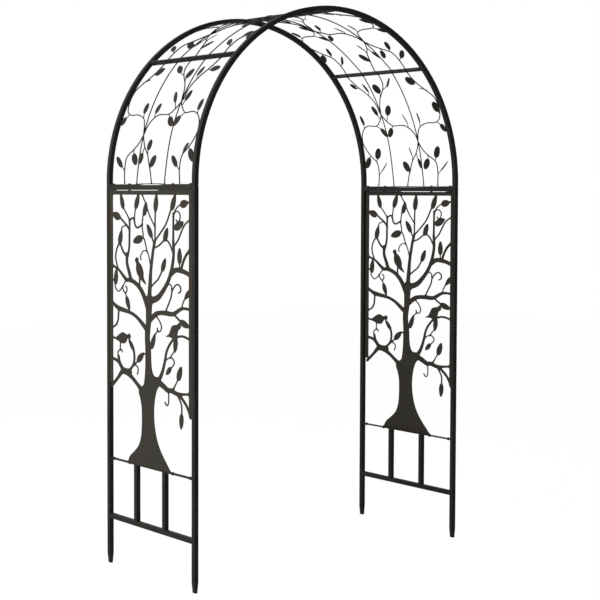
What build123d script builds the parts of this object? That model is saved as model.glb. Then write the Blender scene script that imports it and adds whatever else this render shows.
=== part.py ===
"""Metal garden arbor: two tree side frames on staked foot frames, joined by a leafy hoop of four 45-degree panels."""
import math
import os

from build123d import *

os.makedirs("parts", exist_ok=True)

# Overall sizes in millimetres, Z = 0 at the stake tips, origin midway between the four stakes
passage = 1316.0        # post axis to post axis across the path
depth = 552.0           # post axis to post axis along the path
sill_level = 407.5      # meeting plane of foot frame and side frame
post_top = 1452.0       # top of the posts and of the top rail
hoop_level = 1465.0     # centre of the hoop
foot_rail_level = 184.5  # axis of the foot rail
lower_arc = 508.0       # arc from the spring line to the joint of lower and upper hoop panel

# Sections
tube = 18.0             # side of the square tube
wall = 1.2              # wall of the square tube
fit = 0.2               # clearance of a plug in a tube, on each side
plug_length = 26.0      # swaged plug at the lower end of a tube
shoulder = 3.0          # solid ring where a tube is swaged down
joint_gap = 1.5         # neck that shows between post and hoop
weld_gap = 0.1          # root gap of a butt weld
sill_bar_width, sill_bar_thick = 16.0, 2.0
hoop_bar_width, hoop_bar_thick = 19.0, 3.0
tip_length = 44.0       # crimped end of a stake
tip_width, tip_thick = 19.0, 5.0
hoop_facets = 8         # straight lengths that stand for the bend of one hoop panel

# Tree sheet
sheet = 3.0
sheet_offset = 5.5      # sheet plane outside the post axes
border = 19.5           # width of the side strips
strip_bottom, strip_top = 1416.0, 1432.6
far_strip_end, near_strip_end = 694.0, 622.0
straight_enough = math.radians(11)  # a branch point that turns less than this is left out

# Vines
wire = 4.5
vine_inset = 5.0        # middle wires inside the hoop radius
vine_gap = 0.6          # between wires that cross
vine_margin = 4.0       # between the outermost wires and the hoop tubes
leaf_sheet = 1.5
leaf_blade, leaf_width = 48.0, 25.0
leaf_droop = 0.05       # slope of the leaves inside the vine away from it

# Fasteners
bolt = 4.0
bolt_hole = 4.6
bolt_head_across, bolt_head_high = 7.6, 2.8
bolt_places = (-249.0, -140.0, 140.0, 249.0)
screw_head, screw_high, screw_level = 9.0, 2.5, 392.0

radius = passage / 2
bore = tube - 2 * wall
plug = bore - 2 * fit
plug_bore = plug - 3 * wall
facet_drop = plug_length * math.sin(math.pi / 8 / hoop_facets)
clear_half = depth / 2 - tube / 2 - weld_gap
hoop_start = post_top + joint_gap
sides = {"left": -1, "right": 1}
places = {"near": -1, "far": 1}


def save(builder, name):
    builder.part.label = name
    export_step(builder.part, f"parts/{name}.step")


def ring(outer, inner):
    Rectangle(outer, outer)
    Rectangle(inner, inner, mode=Mode.SUBTRACT)


def swaged_end(plane, slack=0.0):
    """Plug below a tube that starts on the plane, with the solid ring that joins the two."""
    with BuildSketch(plane.offset(-plug_length)) as inner_ring:
        ring(plug - slack, plug_bore - slack)
    extrude(inner_ring.sketch, amount=plug_length + shoulder)
    with BuildSketch(plane) as outer_ring:
        ring(tube, plug_bore - slack)
    extrude(outer_ring.sketch, amount=shoulder)


def along_depth(x, z, x_dir=(1, 0, 0)):
    """Plane at the near end of a member that runs along the depth between the tubes."""
    return Plane(origin=(x, -clear_half, z), x_dir=x_dir, z_dir=(0, 1, 0))


def bolt_row(x, z, axis, length):
    """Square holes for a row of four bolts through a bar, along the axis from the point."""
    for y in bolt_places:
        with BuildSketch(Plane(origin=(x, y, z), x_dir=(0, 1, 0), z_dir=axis)) as hole:
            Rectangle(bolt_hole, bolt_hole)
        extrude(hole.sketch, amount=length, mode=Mode.SUBTRACT)


def flat_bar(origin, normal, width, thick):
    """Flat bar along the depth that lies on the origin's plane and grows along the normal, with bolt holes."""
    with BuildPart() as bar:
        with BuildSketch(Plane(origin=origin, x_dir=(0, 1, 0), z_dir=normal)):
            Rectangle(2 * clear_half, width)
        extrude(amount=thick)
        bolt_row(origin[0], origin[2], normal, thick)
    return bar


def tip_wedge(width):
    """Side view of a crimped stake end that changes from the tube to the width at the tip."""
    Polygon((-width / 2, 0), (width / 2, 0), (tube / 2, tip_length), (-tube / 2, tip_length), align=None)


# Foot frames: two staked legs, a foot rail, two balusters and the bar that carries the side frame
for side, sx in sides.items():
    x = sx * passage / 2
    for place, sy in places.items():
        y = sy * depth / 2
        with BuildPart() as leg:
            with BuildSketch(Plane(origin=(x, y, 0), x_dir=(1, 0, 0), z_dir=(0, -1, 0))):
                tip_wedge(tip_thick)
            extrude(amount=tube, both=True)
            with BuildSketch(Plane(origin=(x, y, 0), x_dir=(0, 1, 0), z_dir=(1, 0, 0))):
                tip_wedge(tip_width)
            extrude(amount=tube, both=True, mode=Mode.INTERSECT)
            with BuildSketch(Plane(origin=(x, y, tip_length))):
                ring(tube, bore)
            extrude(amount=sill_level - tip_length)
        save(leg, f"{side}_{place}_leg")

    with BuildPart() as foot_rail:
        with BuildSketch(along_depth(x, foot_rail_level)):
            ring(tube, bore)
        extrude(amount=2 * clear_half)
    save(foot_rail, f"{side}_foot_rail")

    with BuildPart() as balusters:
        for y in (-depth / 6, depth / 6):
            with BuildSketch(Plane(origin=(x, y, foot_rail_level + tube / 2 + weld_gap))):
                ring(tube, bore)
        extrude(amount=sill_level - sill_bar_thick - foot_rail_level - tube / 2 - 2 * weld_gap)
    save(balusters, f"{side}_balusters")

    foot_bar = flat_bar((x, 0, sill_level - sill_bar_thick), (0, 0, 1), sill_bar_width, sill_bar_thick)
    save(foot_bar, f"{side}_foot_bar")

# Side frames: two posts, the sill bar and the top rail; the tree sheet follows below
for side, sx in sides.items():
    x = sx * passage / 2
    for place, sy in places.items():
        foot = Plane(origin=(x, sy * depth / 2, sill_level))
        with BuildPart() as post:
            with BuildSketch(foot):
                ring(tube, bore)
            extrude(amount=post_top - sill_level)
            swaged_end(foot)
        save(post, f"{side}_{place}_post")

    sill_bar = flat_bar((x, 0, sill_level), (0, 0, 1), sill_bar_width, sill_bar_thick)
    save(sill_bar, f"{side}_sill_bar")

    with BuildPart() as top_rail:
        with BuildSketch(along_depth(x, post_top - tube / 2)):
            ring(tube, bore)
        extrude(amount=2 * clear_half)
        bolt_row(x, post_top - tube, (0, 0, 1), tube)
    save(top_rail, f"{side}_top_rail")


# Tree sheet: drawn once in (u, z), u to the right as seen from the left of the arbor, z the height above the tips
def smooth(points, steps):
    """Points on a smooth curve through the given ones (Catmull-Rom), with so many steps to each span."""
    ends = [points[0]] + list(points) + [points[-1]]
    out = []
    for p, a, b, n in zip(ends, ends[1:], ends[2:], ends[3:]):
        for k in range(steps):
            t = k / steps
            out.append(tuple(
                0.5 * (2 * a[i] + (b[i] - p[i]) * t + (2 * p[i] - 5 * a[i] + 4 * b[i] - n[i]) * t * t
                       + (3 * a[i] - p[i] - 3 * b[i] + n[i]) * t ** 3) for i in (0, 1)))
    return out + [tuple(points[-1])]


def limb(widths, *points):
    """Branch of changing width along a smooth line; the widths are spread evenly over the points."""
    line = smooth(points, 2 if max(widths) > 6 else 1)
    last = len(line) - 1
    rows = []
    for i, (u, z) in enumerate(line):
        at = i / last * (len(widths) - 1)
        low = min(int(at), len(widths) - 2)
        row = (u, z, (widths[low] + (widths[low + 1] - widths[low]) * (at - low)) / 2)
        if 0 < i < last:
            came = math.atan2(z - rows[-1][1], u - rows[-1][0])
            goes = math.atan2(line[i + 1][1] - z, line[i + 1][0] - u)
            if abs(math.remainder(goes - came, math.tau)) < straight_enough:
                continue
        rows.append(row)
    left, right = [], []
    for i, (u, z, half) in enumerate(rows):
        before, after = rows[max(i - 1, 0)], rows[min(i + 1, len(rows) - 1)]
        du, dz = after[0] - before[0], after[1] - before[1]
        half /= math.hypot(du, dz)
        left.append((u - dz * half, z + du * half))
        right.append((u + dz * half, z - du * half))
    return Polygon(*left, *reversed(right), align=None, mode=Mode.PRIVATE)


def tree_leaf(base, tip, width):
    """Pointed leaf from base to tip."""
    du, dz = tip[0] - base[0], tip[1] - base[1]
    length = math.hypot(du, dz)
    outline = ((-0.08, 0), (0.14, 0.38), (0.46, 0.5), (0.8, 0.36), (1.03, 0), (0.8, -0.36), (0.46, -0.5),
               (0.14, -0.38))
    return Polygon(*[(base[0] + du * a - dz / length * width * c, base[1] + dz * a + du / length * width * c)
                     for a, c in outline], align=None, mode=Mode.PRIVATE)


def trunk():
    """Trunk from the spread root to the fork, by its left and right edges."""
    left = [(-140, 0), (-139, 420), (-127, 438), (-97, 460), (-71, 484), (-56, 517), (-51, 555), (-50, 592), (-52, 628),
            (-60, 658), (-70, 684), (-46, 708), (-36, 719), (-29, 761), (-27, 808), (-27, 850), (-30, 890),
            (-28, 920), (-23, 950), (-23, 1000), (-20, 1040)]
    right = [(132, 0), (124, 422), (95, 452), (66, 485), (44, 524), (30, 574), (27, 621), (33, 668), (45, 700), (60, 722),
             (48, 746), (27, 753), (15, 770), (9, 801), (7, 842), (2, 870), (0, 900), (8, 950), (13, 1000),
             (14, 1040)]
    root = sill_level + sill_bar_thick + weld_gap
    left[0], right[0] = (left[0][0], root), (right[0][0], root)
    return Polygon(*left, *reversed(right), align=None, mode=Mode.PRIVATE)


# Main branches and the stems, curls and links that leave them
branches = [
    limb((24, 20, 17, 16, 15, 9, 8), (-18, 1012), (-45, 1052), (-78, 1080), (-125, 1098), (-155, 1098), (-207, 1133),
         (-252, 1148)),
    limb((17, 13), (-122, 1096), (-137, 1130), (-150, 1160), (-150, 1195)),
    limb((9, 7), (-152, 1186), (-175, 1202), (-192, 1225), (-203, 1234)),
    limb((10, 8), (-146, 1184), (-135, 1220), (-133, 1270), (-132, 1324)),
    limb((6, 6), (-199, 1232), (-214, 1220), (-226, 1195), (-226, 1170), (-213, 1140)),
    limb((5, 5), (-150, 1302), (-181, 1295), (-187, 1277)),
    limb((7, 7), (-132, 1283), (-155, 1304), (-178, 1318), (-200, 1333)),
    limb((5, 5), (-131, 1320), (-150, 1342), (-175, 1367)),
    limb((7, 7), (-134, 1320), (-110, 1330), (-100, 1318), (-93, 1301), (-78, 1294), (-48, 1306)),
    limb((5, 5), (-100, 1322), (-97, 1347), (-91, 1370)),
    limb((24, 15, 11), (-3, 1030), (3, 1090), (8, 1140), (22, 1210), (32, 1245)),
    limb((6, 6), (35, 1240), (35, 1300), (37, 1360)),
    limb((6, 6), (32, 1232), (13, 1264)),
    limb((6, 6), (33, 1247), (90, 1296), (112, 1322), (136, 1364), (142, 1370)),
    limb((6, 6), (24, 1220), (60, 1232), (90, 1250), (110, 1252), (130, 1237), (149, 1208)),
    limb((6, 6), (6, 1077), (33, 1095), (58, 1112), (81, 1143)),
    limb((5, 5), (-52, 1420), (-33, 1395), (-22, 1380), (0, 1340), (36, 1298)),
    limb((5, 5), (-16, 1206), (-32, 1248), (-42, 1258), (-43, 1275), (-49, 1302), (-42, 1343)),
    limb((4.5, 4.5), (4, 1162), (-7, 1195), (-20, 1209), (-38, 1210), (-53, 1199), (-60, 1183), (-54, 1175)),
    limb((26, 18, 15, 10), (-2, 1026), (50, 1040), (85, 1067), (115, 1100), (135, 1135), (148, 1175), (153, 1215),
         (150, 1250)),
    limb((10, 8), (150, 1235), (151, 1350)),
    limb((20, 15), (136, 1132), (165, 1147), (195, 1146), (225, 1141), (252, 1132)),
    limb((11, 10), (198, 1148), (210, 1175), (227, 1200), (252, 1222)),
    limb((6, 6), (150, 1228), (180, 1255), (200, 1285), (220, 1310), (252, 1328)),
    limb((5, 5), (150, 1335), (162, 1360), (178, 1374), (197, 1382)),
    limb((5, 5), (150, 1350), (173, 1358), (187, 1352), (193, 1340), (185, 1320), (167, 1327)),
    limb((22, 17, 18, 12, 9), (0, 955), (40, 980), (70, 987), (110, 988), (150, 988), (195, 1008), (220, 1012),
         (253, 1010)),
    limb((7, 7), (155, 987), (175, 975), (198, 963)),
    limb((6, 5), (100, 990), (120, 1021), (136, 1047), (143, 1070), (159, 1088), (177, 1096), (194, 1088),
         (195, 1072), (182, 1065)),
    limb((4, 4), (107, 1090), (128, 1094), (140, 1086), (138, 1074)),
    limb((5, 5), (40, 975), (62, 958), (75, 940), (73, 925), (62, 917), (52, 920), (49, 930)),
    limb((5, 5), (29, 902), (54, 920)),
    limb((20, 13, 12, 19, 10), (-20, 920), (-70, 953), (-105, 969), (-150, 979), (-210, 988), (-252, 1008)),
    limb((8, 7), (-207, 990), (-209, 960), (-213, 940), (-226, 922), (-252, 911)),
    limb((24, 15, 15, 23, 20, 13, 12), (-46, 686), (-81, 710), (-113, 730), (-150, 748), (-183, 748), (-211, 724),
         (-254, 688)),
    limb((10, 10, 10), (-108, 841), (-101, 815), (-106, 785), (-130, 762), (-155, 757), (-180, 763), (-199, 781),
         (-208, 805)),
    limb((14, 11), (-176, 750), (-205, 780), (-225, 789), (-252, 793)),
    limb((5, 5), (-208, 790), (-214, 815), (-203, 828), (-190, 831), (-183, 822)),
    limb((5, 5), (-196, 862), (-197, 828)),
    limb((5, 5), (-104, 784), (-80, 775), (-76, 762), (-82, 748)),
    limb((6, 6), (-106, 778), (-76, 799)),
    limb((6, 6), (-44, 829), (-20, 828)),
    limb((20, 13, 10, 9, 8), (48, 732), (72, 756), (88, 786), (99, 818), (109, 850), (130, 878), (158, 900),
         (205, 912), (253, 903)),
    limb((5, 5), (97, 812), (120, 826), (138, 829), (152, 822), (157, 812), (148, 800), (133, 790)),
    limb((5, 5), (158, 855), (140, 838), (130, 826)),
    limb((24, 21, 19, 15, 12, 9, 6), (48, 736), (88, 721), (115, 709), (140, 710), (165, 703), (200, 703), (253, 709)),
    limb((6, 6), (146, 708), (160, 728), (181, 756)),
    limb((11, 11), (168, 702), (195, 693), (215, 680), (235, 662), (250, 640), (256, 625)),
    limb((6, 6), (180, 694), (197, 672), (203, 655), (202, 626)),
    limb((5, 5), (121, 702), (121, 668), (114, 653), (104, 656), (98, 664)),
    limb((5, 5), (-229, 1082), (-231, 1066), (-212, 1051), (-195, 1057), (-180, 1071), (-152, 1099)),
    limb((5, 5), (-181, 1072), (-175, 1056), (-163, 1048), (-152, 1054), (-151, 1066), (-161, 1073)),
    limb((5, 5), (-162, 1049), (-153, 1030)),
    limb((5, 5), (-234, 1093), (-252, 1092)),
    limb((5, 5), (189, 1143), (189, 1178)),
    limb((5, 4), (222, 1048), (212, 1034), (206, 1022), (200, 1008)),
    limb((5, 5), (-42, 1258), (-56, 1257)),
    limb((7, 7), (-65, 1106), (-67, 1074))]

tree_leaves = (
    ((-175, 1365), (-192, 1417), 24), ((-92, 1366), (-71, 1418), 26), ((-36, 1341), (-21, 1388), 24),
    ((37, 1357), (45, 1417), 26), ((140, 1363), (163, 1417), 26), ((194, 1382), (250, 1390), 26),
    ((152, 1293), (211, 1316), 30), ((95, 1250), (114, 1297), 26), ((80, 1140), (101, 1186), 24),
    ((14, 1262), (-16, 1307), 24), ((-50, 1257), (-107, 1241), 31), ((-199, 1329), (-248, 1345), 30),
    ((-201, 1230), (-187, 1281), 26), ((-229, 1078), (-222, 1135), 26), ((-154, 1032), (-134, 985), 23),
    ((189, 1172), (189, 1226), 26), ((252, 1076), (221, 1046), 21), ((193, 964), (249, 947), 25),
    ((10, 852), (34, 905), 24), ((167, 900), (160, 850), 25), ((135, 792), (106, 765), 20),
    ((180, 752), (200, 802), 28), ((202, 630), (199, 577), 24), ((-80, 797), (-40, 830), 26),
    ((-107, 838), (-139, 874), 18))

birds = (
    ((-96, 1173), (-86, 1184), (-75, 1179), (-73, 1168), (-55, 1155), (-42, 1132), (-40, 1110), (-24, 1086),
     (-42, 1094), (-60, 1104), (-80, 1122), (-88, 1140), (-87, 1160), (-91, 1167)),
    ((-252, 879), (-252, 871), (-217, 870), (-204, 864), (-180, 855), (-162, 859), (-147, 876), (-132, 877),
     (-126, 886), (-136, 896), (-147, 891), (-162, 893), (-180, 898), (-198, 890), (-215, 878)),
    ((100, 903), (124, 914), (141, 942), (158, 949), (177, 952), (185, 959), (197, 943), (180, 930), (173, 908),
     (160, 897), (130, 903)))

with BuildSketch() as tree:
    inner = clear_half - border
    Polygon((-clear_half, strip_bottom), (clear_half, strip_bottom), (clear_half, strip_top),
            (-clear_half, strip_top), align=None)
    Polygon((-clear_half, far_strip_end), (-inner, far_strip_end + 10), (-inner, strip_top),
            (-clear_half, strip_top), align=None)
    Polygon((clear_half, near_strip_end), (inner, near_strip_end + 8), (inner, strip_top),
            (clear_half, strip_top), align=None)
    add([trunk()] + branches + [tree_leaf(*leaf) for leaf in tree_leaves])
    for outline in birds:
        Polygon(*outline, align=None)

for side, sx in sides.items():
    middle = sx * (passage / 2 + sheet_offset)
    with BuildPart() as tree_panel:
        with BuildSketch(Plane(origin=(middle, 0, 0), x_dir=(0, -1, 0), z_dir=(-1, 0, 0))):
            add(tree.sketch)
        extrude(amount=sheet / 2, both=True)
    save(tree_panel, f"{side}_tree_panel")


# Hoop panels: the left half is built, the right half is the same turned half a turn about Z
def on_hoop(u, s, out=0.0):
    """Point of the left half at arc length s above the spring line, u to the right as seen from outside."""
    angle = s / radius
    return Vector(-(radius + out) * math.cos(angle), -u, hoop_level + (radius + out) * math.sin(angle))


def outward(s):
    return Vector(-math.cos(s / radius), 0, math.sin(s / radius))


def upward(s):
    return Vector(math.sin(s / radius), 0, math.cos(s / radius))


lower_start = hoop_start - hoop_level
apex = radius * math.pi / 2 - weld_gap
levels = {"lower": (0.0, lower_start, lower_arc), "upper": (lower_arc, lower_arc, apex)}


def tube_foot(u, level):
    """Lower end of a hoop tube: below the spring line for the lower panel, on the meeting line for the upper."""
    return Vector(-radius, -u, hoop_start) if level == "lower" else on_hoop(u, lower_arc)


def save_halves(builder, level, name, swap=None):
    """The left piece and its copy on the right; near and far change places in the half turn."""
    save(builder, f"left_{level}_{name}")
    with BuildPart() as turned:
        add(builder.part, rotation=(0, 0, 180))
    save(turned, f"right_{level}_{swap or name}")


for level, (base, start, end) in levels.items():
    for place, sy in places.items():
        u = -sy * depth / 2
        foot = Plane(origin=tube_foot(u, level), x_dir=outward(base), z_dir=upward(base))
        stations = [base + (end - base) * k / hoop_facets for k in range(hoop_facets + 1)]
        planes = [Plane(origin=on_hoop(u, s), x_dir=outward(s), z_dir=upward(s)) for s in stations]
        if level == "lower":
            planes = [foot] + planes
        with BuildPart() as hoop_tube:
            for plane in planes:
                with BuildSketch(plane):
                    Rectangle(tube, tube)
            loft(ruled=True)
            for plane in planes:
                with BuildSketch(plane):
                    Rectangle(bore, bore)
            loft(ruled=True, mode=Mode.SUBTRACT)
            swaged_end(foot, 2 * facet_drop if level == "upper" else 0.0)
        other = "far" if place == "near" else "near"
        save_halves(hoop_tube, level, f"{place}_hoop_tube", f"{other}_hoop_tube")

    bottom_bar = flat_bar(tuple(tube_foot(0, level)), tuple(upward(base)), hoop_bar_width, hoop_bar_thick)
    save_halves(bottom_bar, level, "bottom_bar")
    top_bar = flat_bar(tuple(on_hoop(0, end)), tuple(upward(end) * -1), hoop_bar_width, hoop_bar_thick)
    save_halves(top_bar, level, "top_bar")


# Vines: every wire is a chain of upright-ended Bezier curves in (u, s); neighbours lie in three layers
third = depth / 6
tube_side = clear_half - wire / 2 - vine_margin
bay = 180.0
waves = {"a": (-bay, -third, third, bay), "b": (0.0, -third, -tube_side, -bay), "c": (bay, tube_side, third, 0.0),
         "d": (-third,) * 4, "e": (third,) * 4}
wave_levels = (0.0, 188.0, 308.0, lower_arc)
wave_handles = ((120.0, 100.0), (300.0, 196.0), (400.0, 400.0))
layer = {"a": -wire - vine_gap, "b": wire + vine_gap, "c": wire + vine_gap, "d": 0.0, "e": 0.0}


def wave_point(name, span, t):
    """Point (u, s) of a wire in one of its three spans."""
    u0, u1 = waves[name][span], waves[name][span + 1]
    s0, s1 = wave_levels[span], wave_levels[span + 1]
    h0, h1 = wave_handles[span]
    u = u0 + (u1 - u0) * t * t * (3 - 2 * t)
    return u, s0 * (1 - t) ** 3 + 3 * h0 * t * (1 - t) ** 2 + 3 * h1 * t * t * (1 - t) + s1 * t ** 3


def wire_at(name, s):
    """Where a wire is at the height s, by halving the span that holds it."""
    span = 0 if s < wave_levels[1] else 1 if s < wave_levels[2] else 2
    low, high = 0.0, 1.0
    for _ in range(30):
        mid = (low + high) / 2
        if wave_point(name, span, mid)[1] < s:
            low = mid
        else:
            high = mid
    return wave_point(name, span, low)[0]


def wire_stations(name, level):
    """Points (u, s) along one wire of a panel, from the bottom bar to the top bar."""
    base, start, end = levels[level]
    first, last = start + hoop_bar_thick + weld_gap, end - hoop_bar_thick - weld_gap
    steps = (0.2, 0.4, 0.6, 0.8, 1.0) if name in "abc" else (0.25, 0.5, 0.75, 1.0)
    points = [(waves[name][0], first)]
    for span in (0, 1, 2):
        points += [wave_point(name, span, t) for t in steps]
    points = [points[0]] + [(u, s + base) for u, s in points[1:-1]]
    return points + [(waves[name][3], last)]


def along_wire(points, i):
    a, b = points[max(i - 1, 0)], points[min(i + 1, len(points) - 1)]
    if i in (0, len(points) - 1):
        return upward(points[i][1])
    return (on_hoop(*b) - on_hoop(*a)).normalized()


def sag(name, level, s):
    """How far the straight facets of a wire lie inside its curve at the height s of a panel."""
    stations = [station[1] for station in wire_stations(name, level)]
    at = levels[level][0] + s
    below = max(station for station in stations if station <= at)
    above = min(station for station in stations if station > at)
    return (at - below) * (above - at) / (2 * radius)


for level in levels:
    with BuildPart() as vine_wires:
        for name in waves:
            points = wire_stations(name, level)
            for i, (u, s) in enumerate(points):
                centre = on_hoop(u, s, layer[name] - vine_inset)
                with BuildSketch(Plane(origin=centre, x_dir=outward(s), z_dir=along_wire(points, i))):
                    Rectangle(wire, wire)
            loft(ruled=True)
    save_halves(vine_wires, level, "vine_wires")

# Leaves: wire, height where the stem leaves it, tip (u, s), blade length over the usual
leaves = (
    ("a", 45, -250, 95, 1.0), ("a", 112, -98, 55, 1.0), ("b", 112, -86, 60, 1.0), ("b", 103, -15, 150, 1.0),
    ("b", 44, 31, 90, 1.0), ("c", 44, 108, 90, 1.0), ("c", 98, 178, 148, 0.9), ("c", 126, 252, 76, 0.9),
    ("b", 257, -257, 214, 0.9), ("b", 228, -115, 302, 1.0), ("a", 238, -25, 295, 1.0), ("a", 256, 88, 196, 1.0),
    ("c", 260, 98, 198, 1.0), ("a", 268, 21, 345, 1.0), ("c", 285, 133, 345, 1.0), ("c", 226, 233, 298, 0.9),
    ("b", 298, -236, 352, 0.9), ("b", 430, -132, 458, 1.0), ("b", 396, -172, 410, 0.5), ("c", 422, -67, 466, 1.0),
    ("c", 390, 68, 442, 1.0), ("a", 386, 118, 450, 1.0), ("a", 426, 240, 444, 1.1))

for level, (base, start, end) in levels.items():
    with BuildPart() as vine_leaves:
        for name, s, tip_u, tip_s, size in leaves:
            u = wire_at(name, s)
            inner = name == "a"
            face = layer[name] - vine_inset - sag(name, level, s) + (-1 if inner else 1) * (wire / 2 + 2 * fit)
            span = math.hypot(tip_u - u, tip_s - s)
            blade, half = leaf_blade * size, leaf_width * size / 2
            stem = max(span - blade, 2.0)
            out = outward(base + s)
            ahead = (upward(base + s) * (tip_s - s) + Vector(0, u - tip_u, 0)).normalized()
            droop = leaf_droop if inner else 0.0
            with BuildSketch(Plane(origin=on_hoop(u, base + s, face), x_dir=ahead - out * droop,
                                   z_dir=out + ahead * droop)):
                Polygon((-1.5, -1.6), (stem + 0.28 * blade, -half), (stem + 0.76 * blade, -0.8 * half),
                        (stem + blade, 0), (stem + 0.76 * blade, 0.8 * half), (stem + 0.28 * blade, half),
                        (-1.5, 1.6), align=None)
            extrude(amount=-leaf_sheet if inner else leaf_sheet)
    save_halves(vine_leaves, level, "vine_leaves")


# Fasteners: heads above, nuts below, drawn with few faces
def bolt_through(origin, axis, grip):
    """Bolt with its nut run up, from the upper face at the origin down through the grip."""
    top = Plane(origin=origin, x_dir=(0, 1, 0), z_dir=axis)
    with BuildSketch(top) as shank:
        Rectangle(bolt, bolt)
    extrude(shank.sketch, amount=-grip)
    for face, high in ((top, bolt_head_high), (top.offset(-grip), -bolt_head_high)):
        with BuildSketch(face) as hexagon:
            RegularPolygon(bolt_head_across / 2, 6, major_radius=False)
        extrude(hexagon.sketch, amount=high)


with BuildPart() as sill_bolts:
    for sx in sides.values():
        for y in bolt_places:
            bolt_through((sx * passage / 2, y, sill_level + sill_bar_thick), (0, 0, 1), 2 * sill_bar_thick)
save(sill_bolts, "sill_bolts")

with BuildPart() as spring_bolts:
    for sx in sides.values():
        for y in bolt_places:
            bolt_through((sx * passage / 2, y, hoop_start + hoop_bar_thick), (0, 0, 1),
                         hoop_bar_thick + joint_gap + tube)
save(spring_bolts, "spring_bolts")

with BuildPart() as mid_bolts:
    for sx in sides.values():
        for y in bolt_places:
            rise = upward(lower_arc)
            head = on_hoop(0, lower_arc) + rise * hoop_bar_thick
            bolt_through((-sx * head.X, y, head.Z), (-sx * rise.X, 0, rise.Z), 2 * hoop_bar_thick)
save(mid_bolts, "mid_bolts")

with BuildPart() as apex_bolts:
    for y in bolt_places:
        bolt_through((hoop_bar_thick + 2 * weld_gap, y, hoop_level + radius), (1, 0, 0),
                     2 * (hoop_bar_thick + 2 * weld_gap))
save(apex_bolts, "apex_bolts")

with BuildPart() as apex_sleeves:
    for sy in places.values():
        middle = hoop_level + radius - facet_drop / 2
        with BuildSketch(Plane(origin=(-plug_length, sy * depth / 2, middle), z_dir=(1, 0, 0))):
            Rectangle(plug - facet_drop, plug - facet_drop)
    extrude(amount=2 * plug_length)
save(apex_sleeves, "apex_sleeves")

with BuildPart() as leg_screws:
    for sx in sides.values():
        for sy in places.values():
            face = sx * (passage / 2 + tube / 2)
            with BuildSketch(Plane(origin=(face, sy * depth / 2, screw_level), z_dir=(sx, 0, 0))):
                RegularPolygon(screw_head / 2, 8)
            extrude(amount=screw_high)
save(leg_screws, "leg_screws")
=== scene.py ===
"""Metal garden arbor in a studio picture: painted square tube, cut tree sheets and a hoop of leafy wire."""

import bpy
import numpy as np
from mathutils import Matrix


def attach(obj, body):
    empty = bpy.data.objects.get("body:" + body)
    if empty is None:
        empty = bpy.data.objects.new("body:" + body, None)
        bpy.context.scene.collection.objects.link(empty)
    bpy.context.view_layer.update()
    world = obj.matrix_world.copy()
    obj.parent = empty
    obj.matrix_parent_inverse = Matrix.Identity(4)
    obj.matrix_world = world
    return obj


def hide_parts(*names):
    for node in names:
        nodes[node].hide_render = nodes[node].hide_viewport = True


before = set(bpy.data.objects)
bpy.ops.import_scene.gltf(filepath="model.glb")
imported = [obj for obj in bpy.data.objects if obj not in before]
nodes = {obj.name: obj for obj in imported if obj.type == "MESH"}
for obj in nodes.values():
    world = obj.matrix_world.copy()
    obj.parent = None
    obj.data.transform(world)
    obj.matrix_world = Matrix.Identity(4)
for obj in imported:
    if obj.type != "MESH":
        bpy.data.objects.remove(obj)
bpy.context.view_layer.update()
scene = bpy.context.scene
scene.view_settings.view_transform = "Standard"

# Camera: the photograph looks through the arbor from the left of the path, at two thirds of its height.
# Focal length in pixels, principal point and pose come from the posts, rails and hoop in the picture.
picture = 600.0
focal, level_row, middle_column = 1433.2, 259.3, 298.6
camera_at = (-3.6297, -4.3695, 1.4228)
yaw, pitch, roll = 0.70007, -0.04585, -0.00385

ahead = np.array([np.sin(yaw) * np.cos(pitch), np.cos(yaw) * np.cos(pitch), np.sin(pitch)])
rightward = np.array([np.cos(yaw), -np.sin(yaw), 0.0])
downward = np.cross(ahead, rightward)
turned_right = np.cos(roll) * rightward + np.sin(roll) * downward
turned_down = np.cos(roll) * downward - np.sin(roll) * rightward
pose = np.eye(4)
pose[:3, :3] = np.stack([turned_right, -turned_down, -ahead], axis=1)
pose[:3, 3] = camera_at
lens = bpy.data.cameras.new("camera")
lens.sensor_width = 36.0
lens.lens = focal / picture * lens.sensor_width
lens.shift_x = (picture / 2 - middle_column) / picture
lens.shift_y = (level_row - picture / 2) / picture
lens.clip_end = 50.0
camera = bpy.data.objects.new("camera", lens)
camera.matrix_world = Matrix(pose.tolist())
scene.collection.objects.link(camera)
scene.camera = camera


# Studio: a pale floor and white surroundings that the picture shows as white, with soft light from the left.
# The surroundings are white to the camera and to reflections, the floor to the camera, with a faint shadow.
def linear(code):
    """Linear colour with alpha from an sRGB hex code: the standard two-part curve, channel by channel."""
    channels = np.array([int(code[i:i + 2], 16) for i in (0, 2, 4)]) / 255
    curved = np.where(channels > 0.04045, ((channels + 0.055) / 1.055) ** 2.4, channels / 12.92)
    return (*curved.tolist(), 1.0)


def add_node(tree, kind, inputs=None, **settings):
    """One shader node with its settings, each given input set to a value or linked to a socket."""
    made = tree.nodes.new("ShaderNode" + kind)
    for key, value in settings.items():
        setattr(made, key, value)
    for key, value in (inputs or {}).items():
        if isinstance(value, bpy.types.NodeSocket):
            tree.links.new(value, made.inputs[key])
        else:
            made.inputs[key].default_value = value
    return made


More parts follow.
